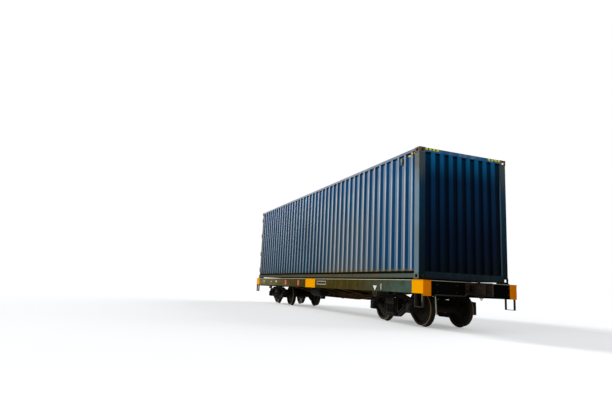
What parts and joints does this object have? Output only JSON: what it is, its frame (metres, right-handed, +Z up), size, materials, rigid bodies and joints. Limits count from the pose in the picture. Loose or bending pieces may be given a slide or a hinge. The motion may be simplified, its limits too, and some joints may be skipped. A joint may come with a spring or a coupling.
{
  "type": "container flatcar with 40 ft container",
  "caption": "Metre-gauge bogie container flatcar with fish-belly frame, automatic couplers and a dark-blue high-cube container whose end doors open.",
  "frame": {"origin": "on the centre line under the middle of the wagon, at the height of the wheel flanges' tips", "axes": "+X along the wagon towards the container's closed end, +Y across it to the left, +Z up"},
  "size_m": [13.524, 2.506, 3.954],
  "materials": {
    "container_paint": "dark blue paint, chalked and rust-streaked",
    "container_castings": "worn paint over cast steel",
    "container_underside": "dark underseal",
    "floor_boards": "brown sealed plywood",
    "galvanised_gear": "blue paint worn to zinc",
    "vent_plastic": "white moulded cover",
    "lock_steel": "greasy dark steel",
    "wagon_paint": "dark grey paint under brown dust",
    "bogie_castings": "rusty cast steel under grease",
    "coupler_castings": "bare rusty cast steel",
    "wheel_steel": "rusty wheel with a bright tread",
    "axle_steel": "rusty forged steel",
    "brake_gear": "black paint under dust"
  },
  "bodies": {
    "wagon": {"air_reservoir": "brake_gear", "angle_cocks": "brake_gear", "body_bolsters": "wagon_paint", "brake_cylinder": "brake_gear", "brake_pipe": "brake_gear", "brake_rods": "brake_gear", "brake_valve": "brake_gear", "centre_sill": "wagon_paint", "container_bottom_fittings": "container_castings", "container_bottom_rails": "container_paint", "container_corner_posts": "container_paint", "container_cross_members": "container_underside", "container_end_rails": "container_paint", "container_floor": "floor_boards", "container_front_wall": "container_paint", "container_locks": "lock_steel", "container_roof": "container_paint", "container_side_walls": "container_paint", "container_top_fittings": "container_castings", "container_top_rails": "container_paint", "container_ventilators": "vent_plastic", "corner_steps": "wagon_paint", "cross_bearers": "wagon_paint", "draft_gears": "coupler_castings", "hand_brake": "brake_gear", "headstocks": "wagon_paint", "jacking_brackets": "wagon_paint", "lock_pads": "lock_steel", "side_sills": "wagon_paint", "strikers": "coupler_castings", "uncoupling_levers": "wagon_paint"},
    "bogie_front": {"front_axle_boxes": "bogie_castings", "front_bolster": "bogie_castings", "front_brakes": "bogie_castings", "front_side_frames": "bogie_castings", "front_springs": "bogie_castings"},
    "coupler_body_front": {"coupler_front": "coupler_castings", "knuckle_front": "coupler_castings"},
    "bogie_rear": {"rear_axle_boxes": "bogie_castings", "rear_bolster": "bogie_castings", "rear_brakes": "bogie_castings", "rear_side_frames": "bogie_castings", "rear_springs": "bogie_castings"},
    "coupler_body_rear": {"coupler_rear": "coupler_castings", "knuckle_rear": "coupler_castings"},
    "wheelset_1": {"axle_1": "axle_steel", "wheels_1": "wheel_steel"},
    "wheelset_2": {"axle_2": "axle_steel", "wheels_2": "wheel_steel"},
    "wheelset_3": {"axle_3": "axle_steel", "wheels_3": "wheel_steel"},
    "wheelset_4": {"axle_4": "axle_steel", "wheels_4": "wheel_steel"},
    "door_left": {"door_left_leaf": "container_paint", "door_left_lock_gear": "galvanised_gear"},
    "door_right": {"door_right_leaf": "container_paint", "door_right_lock_gear": "galvanised_gear"}
  },
  "joints": [
    {"name": "bogie_front_yaw", "type": "hinge", "parent": "wagon", "child": "bogie_front", "pos_m": [4.45, 0, 0.7], "axis": [0, 0, 1], "range_deg": [-4, 4]},
    {"name": "bogie_rear_yaw", "type": "hinge", "parent": "wagon", "child": "bogie_rear", "pos_m": [-4.45, 0, 0.7], "axis": [0, 0, -1], "range_deg": [-4, 4]},
    {"name": "wheelset_1_spin", "type": "hinge", "parent": "bogie_front", "child": "wheelset_1", "pos_m": [5.275, 0, 0.409], "axis": [0, 1, 0], "continuous": true},
    {"name": "wheelset_2_spin", "type": "hinge", "parent": "bogie_front", "child": "wheelset_2", "pos_m": [3.625, 0, 0.409], "axis": [0, 1, 0], "continuous": true},
    {"name": "wheelset_3_spin", "type": "hinge", "parent": "bogie_rear", "child": "wheelset_3", "pos_m": [-3.625, 0, 0.409], "axis": [0, 1, 0], "continuous": true},
    {"name": "wheelset_4_spin", "type": "hinge", "parent": "bogie_rear", "child": "wheelset_4", "pos_m": [-5.275, 0, 0.409], "axis": [0, 1, 0], "continuous": true},
    {"name": "coupler_front_swing", "type": "hinge", "parent": "wagon", "child": "coupler_body_front", "pos_m": [6.15, 0, 0.888], "axis": [0, 0, 1], "range_deg": [-7, 7]},
    {"name": "coupler_rear_swing", "type": "hinge", "parent": "wagon", "child": "coupler_body_rear", "pos_m": [-6.15, 0, 0.888], "axis": [0, 0, -1], "range_deg": [-7, 7]},
    {"name": "door_left_hinge", "type": "hinge", "parent": "wagon", "child": "door_left", "pos_m": [-6.084, 1.207, 2.5], "axis": [0, 0, -1], "range_deg": [0, 270]},
    {"name": "door_right_hinge", "type": "hinge", "parent": "wagon", "child": "door_right", "pos_m": [-6.084, -1.207, 2.5], "axis": [0, 0, 1], "range_deg": [0, 270]}
  ]
}
